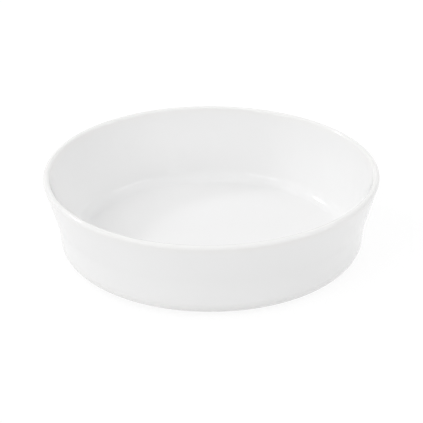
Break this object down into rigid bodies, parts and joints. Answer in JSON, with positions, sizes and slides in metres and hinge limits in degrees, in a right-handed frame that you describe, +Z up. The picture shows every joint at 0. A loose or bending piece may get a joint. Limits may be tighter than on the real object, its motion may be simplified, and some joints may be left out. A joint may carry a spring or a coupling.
{
  "type": "creme brulee dish",
  "caption": "Shallow round white porcelain dish with a flared wall, a thin rounded lip and a foot ring, for baking and serving a custard under a burnt sugar crust.",
  "frame": {"origin": "centre of the foot ring, on the surface that the dish stands on", "axes": "+Z up along the axis of the dish; +X and +Y lie on the table, and any direction is alike"},
  "size_m": [0.12, 0.12, 0.0305],
  "materials": {
    "biscuit": "bare fired porcelain, matte and fine grained",
    "glaze": "smooth glossy white glaze"
  },
  "bodies": {
    "root": {"porcelain_body": "biscuit", "glaze_coat": "glaze", "base_glaze": "glaze"}
  },
  "joints": []
}
